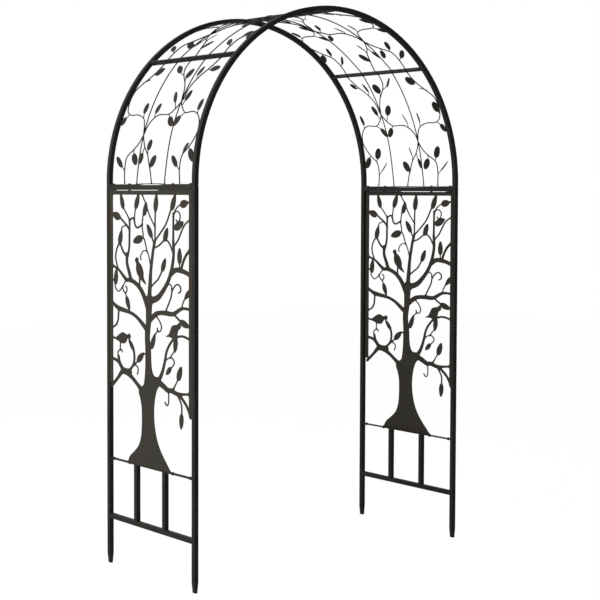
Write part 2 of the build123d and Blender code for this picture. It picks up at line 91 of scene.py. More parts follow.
floor_half, floor_glow, surround_strength = 9.0, 0.975, 0.12
world = bpy.data.worlds.new("surroundings")
world.use_nodes = True
scene.world = world
tree = world.node_tree
tree.nodes.clear()
ray = add_node(tree, "LightPath")
mirrored = add_node(tree, "Math", {0: ray.outputs["Is Glossy Ray"], 1: ray.outputs["Is Transmission Ray"]},
                    operation="MAXIMUM")
seen = add_node(tree, "Math", {0: ray.outputs["Is Camera Ray"], 1: mirrored.outputs[0]}, operation="MAXIMUM")
lit = add_node(tree, "Background", {"Color": linear("F4F6FA"), "Strength": surround_strength})
white = add_node(tree, "Background", {"Color": linear("FFFFFF"), "Strength": 1.0})
both = add_node(tree, "MixShader", {0: seen.outputs[0], 1: lit.outputs[0], 2: white.outputs[0]})
add_node(tree, "OutputWorld", {"Surface": both.outputs[0]})

# Studio paper is matt and unprinted: it shows nothing but the soft shadow round the stakes.
floor_paper = bpy.data.materials.new("pale studio paper")
floor_paper.use_nodes = True
tree = floor_paper.node_tree
tree.nodes.clear()
ray = add_node(tree, "LightPath")
matt = add_node(tree, "BsdfDiffuse", {"Color": linear("F2F2F0")})
faint = add_node(tree, "BsdfDiffuse", {"Color": linear("505050")})
glow = add_node(tree, "Emission", {"Color": linear("FFFFFF"), "Strength": floor_glow})
white = add_node(tree, "AddShader", {0: faint.outputs[0], 1: glow.outputs[0]})
plain = add_node(tree, "MixShader", {
    0: ray.outputs["Is Camera Ray"], 1: matt.outputs[0], 2: white.outputs[0]})
add_node(tree, "OutputMaterial", {"Surface": plain.outputs[0]})
floor_mesh = bpy.data.meshes.new("floor")
floor_corners = [(x * floor_half, y * floor_half, 0.0) for x, y in ((-1, -1), (1, -1), (1, 1), (-1, 1))]
floor_mesh.from_pydata(floor_corners, [], [(0, 1, 2, 3)])
floor_mesh.materials.append(floor_paper)
floor = bpy.data.objects.new("floor", floor_mesh)
scene.collection.objects.link(floor)

lamps = {"left_soft_box": ((-3.8, 0.2, 2.5), (2.6, 3.2), 140.0),
         "top_soft_box": ((-1.0, -0.2, 4.6), (3.0, 3.0), 40.0)}
lit_point = np.array((0.0, 0.0, 1.2))
for name, (place, size, power) in lamps.items():
    lamp = bpy.data.lights.new(name, "AREA")
    lamp.shape, lamp.size, lamp.size_y, lamp.energy = "RECTANGLE", *size, power
    soft_box = bpy.data.objects.new(name, lamp)
    back = np.array(place) - lit_point
    back /= np.linalg.norm(back)
    side = np.cross((0.0, 0.0, 1.0), back)
    side /= np.linalg.norm(side)
    turn = np.eye(4)
    turn[:3, :3] = np.stack([side, np.cross(back, side), back], axis=1)
    turn[:3, 3] = place
    soft_box.matrix_world = Matrix(turn.tolist())
    scene.collection.objects.link(soft_box)

# Foot frames: legs of square steel tube crimped to stakes, with a rail, two balusters and a flat bar.
# Everything is welded, then painted dark bronze-brown; the paint is slightly uneven and a little dusty.
millimetre = 0.001
passage, depth = 1316.0, 552.0
tube, corner, corner_steps = 18.0, 0.7, 5
sill_level, sill_thick, foot_rail_level = 407.5, 2.0, 184.5
tip_length, tip_width, tip_thick, tip_rings = 44.0, 19.0, 9.0, 9
weld_gap = 0.1
fold_angle = np.radians(40.0)
clear_half = depth / 2 - tube / 2 - weld_gap
frame_sides = (("left", -passage / 2), ("right", passage / 2))
frame_places = (("near", -depth / 2), ("far", depth / 2))
baluster_rows = (-depth / 6, depth / 6)


def painted_steel(name, base, worn, dusty, roughness, gloss_level):
    """Satin paint over steel: the base colour drifts to a worn one in patches and a dusty one in specks."""
    material = bpy.data.materials.new(name)
    material.use_nodes = True
    tree = material.node_tree
    tree.nodes.clear()
    # Sizes in millimetres; the grain of the paint is finer and is drawn this coarse to show at all
    patch_size, speck_size, grain_size, grain_depth = 110.0, 16.0, 2.2, 0.4
    patch_low, patch_high, speck_low, speck_high = 0.38, 0.68, 0.52, 0.78
    shinier, duller, grain_strength = 0.1, 0.12, 0.25
    place = add_node(tree, "TexCoord").outputs["Object"]
    patches, specks, grain = (
        add_node(tree, "TexNoise", {"Vector": place, "Scale": 1 / (size * millimetre), "Detail": detail})
        for size, detail in ((patch_size, 4.0), (speck_size, 3.0), (grain_size, 2.0)))
    patch = add_node(tree, "MapRange", {0: patches.outputs[0], 1: patch_low, 2: patch_high})
    speck = add_node(tree, "MapRange", {0: specks.outputs[0], 1: speck_low, 2: speck_high})
    aged = add_node(tree, "Mix", {0: patch.outputs[0], 6: linear(base), 7: linear(worn)}, data_type="RGBA")
    soiled = add_node(tree, "Mix", {0: speck.outputs[0], 6: aged.outputs[2], 7: linear(dusty)},
                      data_type="RGBA")
    gloss = add_node(tree, "MapRange", {0: specks.outputs[0], 3: roughness - shinier, 4: roughness + duller})
    rough = add_node(tree, "Bump", {
        "Height": grain.outputs[0], "Strength": grain_strength, "Distance": grain_depth * millimetre})
    paint = add_node(tree, "BsdfPrincipled", {
        "Base Color": soiled.outputs[2], "Roughness": gloss.outputs[0], "Normal": rough.outputs[0],
        "Specular IOR Level": gloss_level})
    add_node(tree, "OutputMaterial", {"Surface": paint.outputs[0]})
    return material


# Satin paint on drawn tube: dark grey-brown with hardly any shine, so each flat face keeps one even tone.
tube_paint = painted_steel("satin bronze paint on tube", "2E2C29", "282725", "38352F", 0.55, 0.05)


def rounded_square(half_a, half_b, radius):
    """Section of a square tube: four quarter circles joined by flats, centres moved in by the radius."""
    quarter = np.linspace(0, np.pi / 2, corner_steps)
    angles = np.concatenate([quarter + turns * np.pi / 2 for turns in range(4)])
    sign_a = np.repeat((1, -1, -1, 1), corner_steps)
    sign_b = np.repeat((1, 1, -1, -1), corner_steps)
    a = sign_a * (np.asarray(half_a)[..., None] - radius) + radius * np.cos(angles)
    b = sign_b * (np.asarray(half_b)[..., None] - radius) + radius * np.sin(angles)
    return np.stack([a, b], axis=-1)


def carry(path, side_a, side_b, section):
    """Section points (stations, points, 2) carried along the path on each station's two side directions."""
    return path[:, None, :] + section[..., :1] * side_a[:, None, :] + section[..., 1:] * side_b[:, None, :]


def tube_faces(rings, around, first=0):
    """Quads between neighbouring rings of a closed section, and one polygon on each end."""
    ring, point = np.meshgrid(np.arange(rings - 1), np.arange(around), indexing="ij")
    here, onward = first + ring * around + point, first + ring * around + (point + 1) % around
    quads = np.stack([here, onward, onward + around, here + around], axis=-1).reshape(-1, 4).tolist()
    last = first + (rings - 1) * around
    return quads + [list(range(first + around - 1, first - 1, -1)), list(range(last, last + around))]


def add_piece(name, points, faces, material, stands_for):
    """One mesh object from points in millimetres, smooth except at folds over the fold angle."""
    mesh = bpy.data.meshes.new(name)
    mesh.from_pydata((points * millimetre).tolist(), [], faces)
    mesh.polygons.foreach_set("use_smooth", np.ones(len(mesh.polygons), bool))
    mesh.set_sharp_from_angle(angle=fold_angle)
    mesh.materials.append(material)
    piece = bpy.data.objects.new(name, mesh)
    scene.collection.objects.link(piece)
    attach(piece, "root")
    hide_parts(stands_for)


def add_shells(name, shells, material, stands_for):
    """One piece of closed shells, each given as points (rings, around, 3)."""
    faces, first = [], 0
    for shell in shells:
        rings, around = shell.shape[:2]
        faces += tube_faces(rings, around, first)
        first += rings * around
    points = np.concatenate([shell.reshape(-1, 3) for shell in shells])
    add_piece(name, points, faces, material, stands_for)


def ease(share):
    """Smooth step from 0 to 1: three times the square less twice the cube."""
    return share * share * (3 - 2 * share)


def straight_tube(start, end, side_a, half_a=None, half_b=None):
    """Straight square tube, with its half widths given at even steps from start to end."""
    start, end, side_a = (np.array(v, float) for v in (start, end, side_a))
    along = (end - start) / np.linalg.norm(end - start)
    side_b = np.cross(along, side_a)
    half_a = np.full(2, tube / 2) if half_a is None else np.asarray(half_a, float)
    half_b = np.full(2, tube / 2) if half_b is None else np.asarray(half_b, float)
    share = np.linspace(0, 1, len(half_a))[:, None]
    path = start + (end - start) * share
    sides = [np.repeat(side[None], len(path), axis=0) for side in (side_a, side_b)]
    return carry(path, *sides, rounded_square(half_a, half_b, corner))


crimp = ease(np.linspace(0, 1, tip_rings))
for side, x in frame_sides:
    for place, y in frame_places:
        stake = straight_tube((x, y, 0), (x, y, tip_length), (1, 0, 0),
                              (tip_thick + (tube - tip_thick) * crimp) / 2,
                              (tip_width + (tube - tip_width) * crimp) / 2)
        shaft = straight_tube((x, y, tip_length), (x, y, sill_level), (1, 0, 0))
        leg = np.concatenate([stake, shaft[1:]])
        add_shells(f"{side}_{place}_leg_tube", [leg], tube_paint, f"{side}_{place}_leg")
    rail = straight_tube((x, -clear_half, foot_rail_level), (x, clear_half, foot_rail_level), (1, 0, 0))
    add_shells(f"{side}_foot_rail_tube", [rail], tube_paint, f"{side}_foot_rail")
    bottom, top = foot_rail_level + tube / 2 + weld_gap, sill_level - sill_thick - weld_gap
    pair = [straight_tube((x, y, bottom), (x, y, top), (1, 0, 0)) for y in baluster_rows]
    add_shells(f"{side}_baluster_tubes", pair, tube_paint, f"{side}_balusters")

# Side frames: two posts that fit over the legs, with a top rail between them that carries the hoop.
# Same tube and paint as the foot frames.
post_top = 1452.0
rail_level = post_top - tube / 2
for side, x in frame_sides:
    for place, y in frame_places:
        post = straight_tube((x, y, sill_level + weld_gap), (x, y, post_top), (1, 0, 0))
        add_shells(f"{side}_{place}_post_tube", [post], tube_paint, f"{side}_{place}_post")
    rail = straight_tube((x, -clear_half, rail_level), (x, clear_half, rail_level), (1, 0, 0))
    add_shells(f"{side}_top_rail_tube", [rail], tube_paint, f"{side}_top_rail")

# Tree sheets: flat steel cut to a tree with leaves and three birds, welded between posts, rail and sill bar.
# The cutter rounds every fork and corner, and each sheet leaves a slit of light under part of the top rail.
sheet, sheet_offset, border = 3.0, 5.5, 19.5
strip_bottom, strip_top = 1416.0, 1432.6
far_strip_end, far_slant, near_strip_end, near_slant = 694.0, 10.0, 622.0, 8.0
root_level = sill_level + sill_thick + weld_gap
cut_step, reach, far_off, flattest, touch = 2.5, 18.0, 1000.0, 0.2, 0.01
slits = {"left": (-221, 55), "right": (-48, 218)}
slit_rise, slit_drop, slit_ease = 1.3, 0.8, 12.0
stout, stout_fillet, slim_fillet = 24.0, 10.0, 4.5
limb_steps, outline_steps = 5, 4

# Dry paint on flat sheet: a little lighter and warmer than on the tube, without any shine.
sheet_paint = painted_steel("dry bronze paint on cut sheet", "363631", "3C342D", "3D3A35", 0.65, 0.05)

# Each limb is its widths from root to tip, then its centre line: u to the right from outside, and z up.
tree_limbs = [
    ((24, 20, 17, 16, 15, 9, 8), (-18, 1012), (-45, 1052), (-78, 1080), (-125, 1098), (-155, 1098),
     (-207, 1133), (-252, 1148)),
    ((17, 13), (-122, 1096), (-137, 1130), (-150, 1160), (-150, 1195)),
    ((9, 7), (-152, 1186), (-175, 1202), (-192, 1225), (-203, 1234)),
    ((10, 8), (-146, 1184), (-135, 1220), (-133, 1270), (-132, 1324)),
    ((6, 6), (-199, 1232), (-214, 1220), (-226, 1195), (-226, 1170), (-213, 1140)),
    ((4.4, 4.4), (-150, 1302), (-181, 1295), (-187, 1277)),
    ((7, 7), (-132, 1283), (-155, 1304), (-178, 1318), (-200, 1333)),
    ((4.4, 4.4), (-131, 1320), (-150, 1342), (-175, 1367)),
    ((7, 7), (-134, 1320), (-110, 1330), (-100, 1318), (-93, 1301), (-78, 1294), (-48, 1306)),
    ((4.4, 4.4), (-100, 1322), (-97, 1347), (-91, 1370)),
    ((24, 15, 11), (-3, 1030), (3, 1090), (8, 1140), (22, 1210), (32, 1245)),
    ((6, 6), (35, 1240), (35, 1300), (37, 1360)),
    ((6, 6), (32, 1232), (13, 1264)),
    ((6, 6), (33, 1247), (90, 1296), (112, 1322), (136, 1364), (142, 1370)),
    ((6, 6), (24, 1220), (60, 1232), (90, 1250), (110, 1252), (130, 1237), (149, 1208)),
    ((6, 6), (6, 1077), (33, 1095), (58, 1112), (81, 1143)),
    ((4.4, 4.4), (-52, 1420), (-33, 1395), (-22, 1380), (0, 1340), (36, 1298)),
    ((4.4, 4.4), (-16, 1206), (-32, 1248), (-42, 1258), (-43, 1275), (-49, 1302), (-42, 1343)),
    ((4, 3.6), (4, 1162), (-7, 1195), (-20, 1209), (-38, 1210), (-53, 1199), (-60, 1183), (-54, 1175)),
    ((26, 18, 15, 10), (-2, 1026), (50, 1040), (85, 1067), (115, 1100), (135, 1135), (148, 1175), (153, 1215),
     (150, 1250)),
    ((10, 8), (150, 1235), (151, 1350)),
    ((20, 15), (136, 1132), (165, 1147), (195, 1146), (225, 1141), (252, 1132)),
    ((11, 10), (198, 1148), (210, 1175), (227, 1200), (252, 1222)),
    ((6, 6), (150, 1228), (180, 1255), (200, 1285), (220, 1310), (252, 1328)),
    ((4.4, 4.4), (150, 1335), (162, 1360), (178, 1374), (197, 1382)),
    ((4.4, 4.4), (150, 1350), (173, 1358), (187, 1352), (193, 1340), (185, 1320), (167, 1327)),
    ((22, 17, 18, 12, 9), (0, 955), (40, 980), (70, 987), (110, 988), (150, 988), (195, 1008), (220, 1012),
     (253, 1010)),
    ((7, 7), (155, 987), (175, 975), (198, 963)),
    ((6, 5), (100, 990), (120, 1021), (136, 1047), (143, 1070), (159, 1088), (177, 1096), (194, 1088),
     (195, 1072), (182, 1065)),
    ((4, 4), (107, 1090), (128, 1094), (140, 1086), (138, 1074)),
    ((4.4, 4.4), (40, 975), (62, 958), (75, 940), (73, 925), (62, 917), (52, 920), (49, 930)),
    ((5, 5), (29, 902), (54, 920)),
    ((20, 13, 12, 19, 10), (-20, 920), (-70, 953), (-105, 969), (-150, 979), (-210, 988), (-252, 1008)),
    ((8, 7), (-207, 990), (-209, 960), (-213, 940), (-226, 922), (-252, 911)),
    ((24, 15, 15, 23, 20, 13, 12), (-46, 686), (-81, 710), (-113, 730), (-150, 748), (-183, 748), (-211, 724),
     (-254, 688)),
    ((18, 22), (-128, 751), (-160, 752)),
    ((5, 5), (150, 1301), (164, 1299)),
    ((5, 5), (236, 1389), (253, 1392)),
    ((10, 10, 10), (-108, 841), (-101, 815), (-106, 785), (-130, 762), (-155, 757), (-180, 763), (-199, 781),
     (-208, 805)),
    ((14, 11), (-176, 750), (-205, 780), (-225, 789), (-252, 793)),
    ((4.4, 4.4), (-208, 790), (-214, 815), (-203, 828), (-190, 831), (-183, 822)),
    ((4.4, 4.4), (-196, 862), (-197, 828)),
    ((4.4, 4.4), (-104, 784), (-80, 775), (-76, 762), (-82, 748)),
    ((6, 6), (-106, 778), (-76, 799)),
    ((6, 6), (-44, 829), (-20, 828)),
    ((20, 13, 10, 9, 8), (48, 732), (72, 756), (88, 786), (99, 818), (109, 850), (130, 878), (158, 900),
     (205, 912), (253, 903)),
    ((4.4, 4.4), (97, 812), (120, 826), (138, 829), (152, 822), (157, 812), (148, 800), (133, 790)),
    ((4.4, 4.4), (158, 855), (140, 838), (130, 826)),
    ((24, 21, 19, 17, 16, 11, 8), (48, 736), (88, 721), (115, 709), (140, 710), (165, 703), (200, 703),
     (253, 709)),
    ((13, 5, 4.4), (142, 707), (160, 728), (181, 756)),
    ((11, 11), (168, 702), (195, 693), (215, 680), (235, 662), (250, 640), (256, 625)),
    ((6, 6), (180, 694), (197, 672), (203, 655), (202, 626)),
    ((4.4, 4.4), (121, 702), (121, 668), (114, 653), (104, 656), (98, 664)),
    ((4.4, 4.4), (-229, 1082), (-231, 1066), (-212, 1051), (-195, 1057), (-180, 1071), (-152, 1099)),
    ((4.4, 4.4), (-181, 1072), (-175, 1056), (-163, 1048), (-152, 1054), (-151, 1066), (-161, 1073)),
    ((4.4, 4.4), (-162, 1049), (-153, 1030)),
    ((4.4, 4.4), (-234, 1093), (-252, 1092)),
    ((4.4, 4.4), (189, 1143), (189, 1178)),
    ((5, 4), (222, 1048), (212, 1034), (206, 1022), (200, 1008)),
    ((5, 5), (-42, 1258), (-56, 1257)),
    ((7, 7), (-65, 1106), (-67, 1074))]

# Each leaf is its base, its tip and its width; each bird and each side of the trunk is an outline.
tree_leaves = (
    ((-175, 1365), (-192, 1417), 24), ((-92, 1366), (-71, 1418), 26), ((-36, 1341), (-21, 1388), 24),
    ((37, 1357), (45, 1417), 26), ((140, 1363), (163, 1417), 26), ((196, 1381), (240, 1389), 29),
    ((160, 1296), (212, 1319), 30), ((95, 1250), (114, 1297), 26), ((80, 1140), (101, 1186), 24),
    ((14, 1262), (-16, 1307), 24), ((-50, 1257), (-107, 1241), 31), ((-199, 1329), (-248, 1345), 30),
    ((-201, 1230), (-187, 1281), 26), ((-229, 1078), (-222, 1135), 26), ((-154, 1032), (-134, 985), 23),
    ((189, 1172), (189, 1226), 26), ((252, 1076), (221, 1046), 21), ((193, 964), (249, 947), 25),
    ((10, 852), (34, 905), 24), ((167, 900), (160, 850), 25), ((135, 792), (106, 765), 20),
    ((180, 752), (200, 802), 28), ((202, 630), (199, 577), 24), ((-80, 797), (-40, 830), 26),
    ((-107, 838), (-139, 874), 18))

birds = (
    ((-96, 1173), (-86, 1184), (-75, 1179), (-73, 1168), (-55, 1155), (-42, 1132), (-40, 1110), (-24, 1086),
     (-42, 1094), (-60, 1104), (-80, 1122), (-88, 1140), (-87, 1160), (-91, 1167)),
    ((-252, 878), (-252, 871), (-226, 867), (-203, 861), (-180, 855), (-162, 859), (-147, 876), (-132, 877),
     (-126, 886), (-136, 896), (-147, 891), (-162, 893), (-181, 898), (-204, 888), (-226, 876)),
    ((100, 903), (124, 914), (141, 942), (158, 949), (177, 952), (185, 959), (197, 943), (180, 930),
     (173, 908), (160, 897), (130, 903)))

trunk_left = [
    (-140, 395), (-139, 420), (-127, 438), (-97, 460), (-71, 484), (-56, 517), (-51, 555), (-50, 592),
    (-52, 628), (-60, 658), (-70, 684), (-46, 708), (-36, 719), (-29, 761), (-27, 808), (-27, 850),
    (-30, 890), (-28, 920), (-23, 950), (-23, 1000), (-20, 1040)]
trunk_right = [
    (132, 395), (124, 422), (95, 452), (66, 485), (44, 524), (30, 574), (27, 621), (33, 668), (45, 700),
    (60, 722), (48, 746), (27, 753), (15, 770), (9, 801), (7, 842), (2, 870), (0, 900), (8, 950),
    (13, 1000), (14, 1040)]


def smooth_line(points, steps, closed=False):
    """Catmull-Rom curve: on each span the cubic through its ends, with slopes from the points beside them."""
    known = np.asarray(points, float)
    ends = np.concatenate([known[-1:], known, known[:2]] if closed else [known[:1], known, known[-1:]])
    before, here, there, after = (ends[k:len(ends) - 3 + k, None, :] for k in range(4))
    t = np.linspace(0, 1, steps, endpoint=False)[None, :, None]
    curve = 0.5 * (2 * here + (there - before) * t + (2 * before - 5 * here + 4 * there - after) * t ** 2
                   + (3 * here - before - 3 * there + after) * t ** 3).reshape(-1, 2)
    return curve if closed else np.concatenate([curve, known[-1:]])


def nearest(spots, starts, steps):
    """Share along each straight length of the place nearest to each spot, and the distance to it."""
    apart = spots[..., None, :] - starts
    share = np.clip((apart * steps).sum(-1) / (steps * steps).sum(-1), 0, 1)
    return share, np.linalg.norm(apart - share[..., None] * steps, axis=-1)


def limb_field(spots, widths, *points):
    """Distance outside a branch: distance to its centre line less the half width there."""
    line = smooth_line(points, limb_steps)
    half = np.interp(np.linspace(0, 1, len(line)), np.linspace(0, 1, len(widths)), widths) / 2
    share, far = nearest(spots, line[:-1], np.diff(line, axis=0))
    return (far - half[:-1] - share * np.diff(half)).min(-1)


def outline_field(spots, outline):
    """Distance outside a closed outline, negative where a line to the right crosses it oddly often."""
    starts, ends = outline, np.roll(outline, -1, axis=0)
    far = nearest(spots, starts, ends - starts)[1].min(-1)
    u, z = spots[..., :1], spots[..., 1:]
    level = np.where(ends[:, 1] == starts[:, 1], 1.0, ends[:, 1] - starts[:, 1])
    meets = starts[:, 0] + (z - starts[:, 1]) * (ends[:, 0] - starts[:, 0]) / level
    crossed = ((starts[:, 1] <= z) != (ends[:, 1] <= z)) & (u < meets)
    return np.where(crossed.sum(-1) % 2 == 1, -far, far)


def tree_leaf(base, tip, width):
    """Leaf outline: eight points given as shares of the length and width, rounded by a smooth line."""
    base, along = np.array(base, float), np.array(tip, float) - base
    across = np.array([-along[1], along[0]]) / np.linalg.norm(along) * width
    shares = np.array([(-0.04, 0), (0.07, 0.36), (0.42, 0.5), (0.8, 0.33),
                       (1.02, 0), (0.8, -0.33), (0.42, -0.5), (0.07, -0.36)])
    return smooth_line(base + shares[:, :1] * along + shares[:, 1:] * across, outline_steps, closed=True)


columns = np.linspace(-clear_half, clear_half, round(2 * clear_half / cut_step) + 1)
rows = np.linspace(root_level, strip_top, round((strip_top - root_level) / cut_step) + 1)
spots = np.stack(np.meshgrid(columns, rows), axis=-1)
field = np.full(spots.shape[:2], far_off)
edge, inner, beyond = clear_half + reach, clear_half - border, strip_top + reach
shapes = [(outline_field, (np.array(outline, float),), slim_fillet) for outline in (
    ((-edge, strip_bottom), (edge, strip_bottom), (edge, beyond), (-edge, beyond)),
    ((-edge, far_strip_end), (-inner, far_strip_end + far_slant), (-inner, beyond), (-edge, beyond)),
    ((edge, near_strip_end), (inner, near_strip_end + near_slant), (inner, beyond), (edge, beyond)))]
trunk = smooth_line(trunk_left + trunk_right[::-1], outline_steps, closed=True)
shapes += [(outline_field, (trunk,), stout_fillet)]
shapes += [(limb_field, limb, stout_fillet) for limb in tree_limbs if max(limb[0]) >= stout]
shapes += [(limb_field, limb, slim_fillet) for limb in tree_limbs if max(limb[0]) < stout]
shapes += [(outline_field, (tree_leaf(*leaf),), slim_fillet) for leaf in tree_leaves]
shapes += [(outline_field, (smooth_line(bird, outline_steps, closed=True),), slim_fillet) for bird in birds]
for measure, form, fillet in shapes:
    extent = np.concatenate([np.atleast_2d(p) for p in form if np.shape(p)[-1] == 2])
    low, high = extent.min(0) - reach, extent.max(0) + reach
    window = tuple(slice(*np.searchsorted(places, (low[axis], high[axis])))
                   for places, axis in ((rows, 1), (columns, 0)))
    here, other = field[window], measure(spots[window], *form)
    close = np.maximum(1 - np.abs(here - other) / fillet, 0)
    field[window] = np.minimum(here, other) - close ** 2 * fillet / 4


def steepest(values, places, axis):
    """Slope along one axis, forward or backward, whichever is steeper, to keep the edges of thin branches."""
    slope = np.diff(values, axis=axis) / np.diff(places).reshape((-1, 1) if axis == 0 else (1, -1))
    onward = np.pad(slope, [(0, 1), (0, 0)] if axis == 0 else [(0, 0), (0, 1)], mode="edge")
    back = np.pad(slope, [(1, 0), (0, 0)] if axis == 0 else [(0, 0), (1, 0)], mode="edge")
    return np.where(np.abs(onward) > np.abs(back), onward, back)


# Grid points close to the cut line are moved onto it along the slope.
# A cell is steel where its four corners, or three of them, are kept and lie inside on the whole.
slope = np.stack([steepest(field, columns, 1), steepest(field, rows, 0)], axis=-1)
on_cut = np.abs(field) < cut_step / 2
shift = np.where(on_cut, field / np.maximum((slope ** 2).sum(-1), flattest), 0.0)
cut = np.clip(spots - shift[..., None] * slope, (-clear_half, root_level), (clear_half, strip_top))
kept = on_cut | (field < 0)
index = np.arange(field.size).reshape(field.shape)
lower, upper = slice(0, -1), slice(1, None)
cell_corners = ((lower, lower), (lower, upper), (upper, upper), (upper, lower))
corner_kept, corner_index, corner_field = (
    np.stack([grid[c] for c in cell_corners], axis=-1) for grid in (kept, index, field))
whole = corner_kept.all(-1) & (corner_field.mean(-1) < 0)
steel_quads = corner_index[whole]
steel_triangles = []
for missing in range(4):
    others = [k for k in range(4) if k != missing]
    inside = corner_field[..., others].mean(-1) < 0
    three = ~corner_kept[..., missing] & corner_kept[..., others].all(-1) & inside
    steel_triangles.append(corner_index[three][:, others])
steel_triangles = np.concatenate(steel_triangles)
runs = np.concatenate([np.stack([f, np.roll(f, -1, axis=1)], axis=-1).reshape(-1, 2)
                       for f in (steel_quads, steel_triangles)])
rim = runs[~np.isin(runs[:, 0] * field.size + runs[:, 1], runs[:, 1] * field.size + runs[:, 0])]
used = np.unique(runs)
place_of = np.zeros(field.size, int)
place_of[used] = np.arange(len(used))
quads, triangles, rim = place_of[steel_quads], place_of[steel_triangles], place_of[rim]
total = len(used)
for side, x in frame_sides:
    middle = x + np.sign(x) * sheet_offset
    flat = cut.reshape(-1, 2)[used]
    slit_start, slit_end = slits[side]
    shut = np.clip(np.maximum(slit_start - flat[:, 0], flat[:, 0] - slit_end) / slit_ease + 0.5, 0, 1)
    flat[:, 1] += np.where(flat[:, 1] > strip_top - touch, slit_rise * shut - slit_drop * (1 - shut), 0.0)
    front = np.stack([np.full(total, middle - sheet / 2), -flat[:, 0], flat[:, 1]], axis=-1)
    back = front + np.array([sheet, 0.0, 0.0])
    walls = np.stack([rim[:, 1], rim[:, 0], rim[:, 0] + total, rim[:, 1] + total], axis=-1)
    faces = (quads.tolist() + triangles.tolist() + (quads[:, ::-1] + total).tolist()
             + (triangles[:, ::-1] + total).tolist() + walls.tolist())
    add_piece(f"{side}_cut_tree", np.concatenate([front, back]), faces, sheet_paint,
              f"{side}_tree_panel")

# Flat bars: plain strip across the foot frames, side frames and hoop panels, bolted face to face.
# The hoop's lowest bars are pulled down on the rails by their bolts and bow up a little between them.
strip_half, strip_thick, strip_corner, joint_gap = 9.5, 3.0, 0.5, 1.5
bow_start, bow_end, bow_stations = 45.0, 100.0, 61
bow_rises = {"left": 2.8, "right": 0.9}
for name in nodes:
    if name.endswith(("_bar", "_sleeves")):
        nodes[name].data.materials.clear()
        nodes[name].data.materials.append(tube_paint)
along_y = np.linspace(-clear_half, clear_half, bow_stations)
bow = ease(np.clip((bow_end - np.abs(along_y)) / (bow_end - bow_start), 0, 1))
strip_section = rounded_square(strip_half, strip_thick / 2, strip_corner)
across, rise = (np.tile(direction, (bow_stations, 1)) for direction in ((-1.0, 0.0, 0.0), (0.0, 0.0, 1.0)))
for side, x in frame_sides:
    height = post_top + weld_gap + strip_thick / 2 + bow_rises[side] * bow
    path = np.stack([np.full(bow_stations, x), along_y, height], axis=-1)
    add_shells(f"{side}_spring_strip", [carry(path, across, rise, strip_section)], tube_paint,
               f"{side}_lower_bottom_bar")

# Hoop tubes: the same square tube bent to a half circle in four lengths that plug into each other.
# A narrow neck shows where a hoop tube enters a post.
radius, hoop_level = passage / 2, 1465.0
lower_arc, bend_stations = 508.0, 33
plug_half, shoulder = 7.6, 0.2
half_turn = np.array([-1.0, -1.0, 1.0])
hoop_levels = {"lower": (post_top + joint_gap - hoop_level, lower_arc),
               "upper": (lower_arc, radius * np.pi / 2 - weld_gap)}


def on_hoop(u, s, out=0.0):
    """Points on the left half: arc length s above the spring line, u to the right as seen from outside."""
    angle = np.asarray(s) / radius
    u, out = np.broadcast_to(u, angle.shape), radius + np.broadcast_to(out, angle.shape)
    return np.stack([-out * np.cos(angle), -u, hoop_level + out * np.sin(angle)], axis=-1)


def outward(s):
    """Direction away from the hoop's axis at arc length s."""
    angle = np.asarray(s) / radius
    return np.stack([-np.cos(angle), np.zeros_like(angle), np.sin(angle)], axis=-1)


def upward(s):
    """Direction along the hoop towards the crown at arc length s."""
    angle = np.asarray(s) / radius
    return np.stack([np.sin(angle), np.zeros_like(angle), np.cos(angle)], axis=-1)


for level, (start, end) in hoop_levels.items():
    bend = np.linspace(max(start, 0.0), end, bend_stations)
    for place, other, u in (("near", "far", depth / 2), ("far", "near", -depth / 2)):
        path, out, width = on_hoop(u, bend), outward(bend), np.full(bend_stations, tube / 2)
        if level == "lower":
            neck = hoop_level + np.array([start - joint_gap, start - shoulder, start])
            foot = np.stack([np.full(len(neck), -radius), np.full(len(neck), -u), neck], axis=-1)
            path = np.concatenate([foot, path])
            out = np.concatenate([np.tile(out[0], (len(neck), 1)), out])
            width = np.concatenate([[plug_half, plug_half, tube / 2], width])
        across = np.tile((0.0, -1.0, 0.0), (len(path), 1))
        shell = carry(path, across, out, rounded_square(width, width, corner))
        for panel, way, turn in ((f"left_{level}", place, 1.0), (f"right_{level}", other, half_turn)):
            add_shells(f"{panel}_{way}_hoop_bend", [shell * turn], tube_paint,
                       f"{panel}_{way}_hoop_tube")

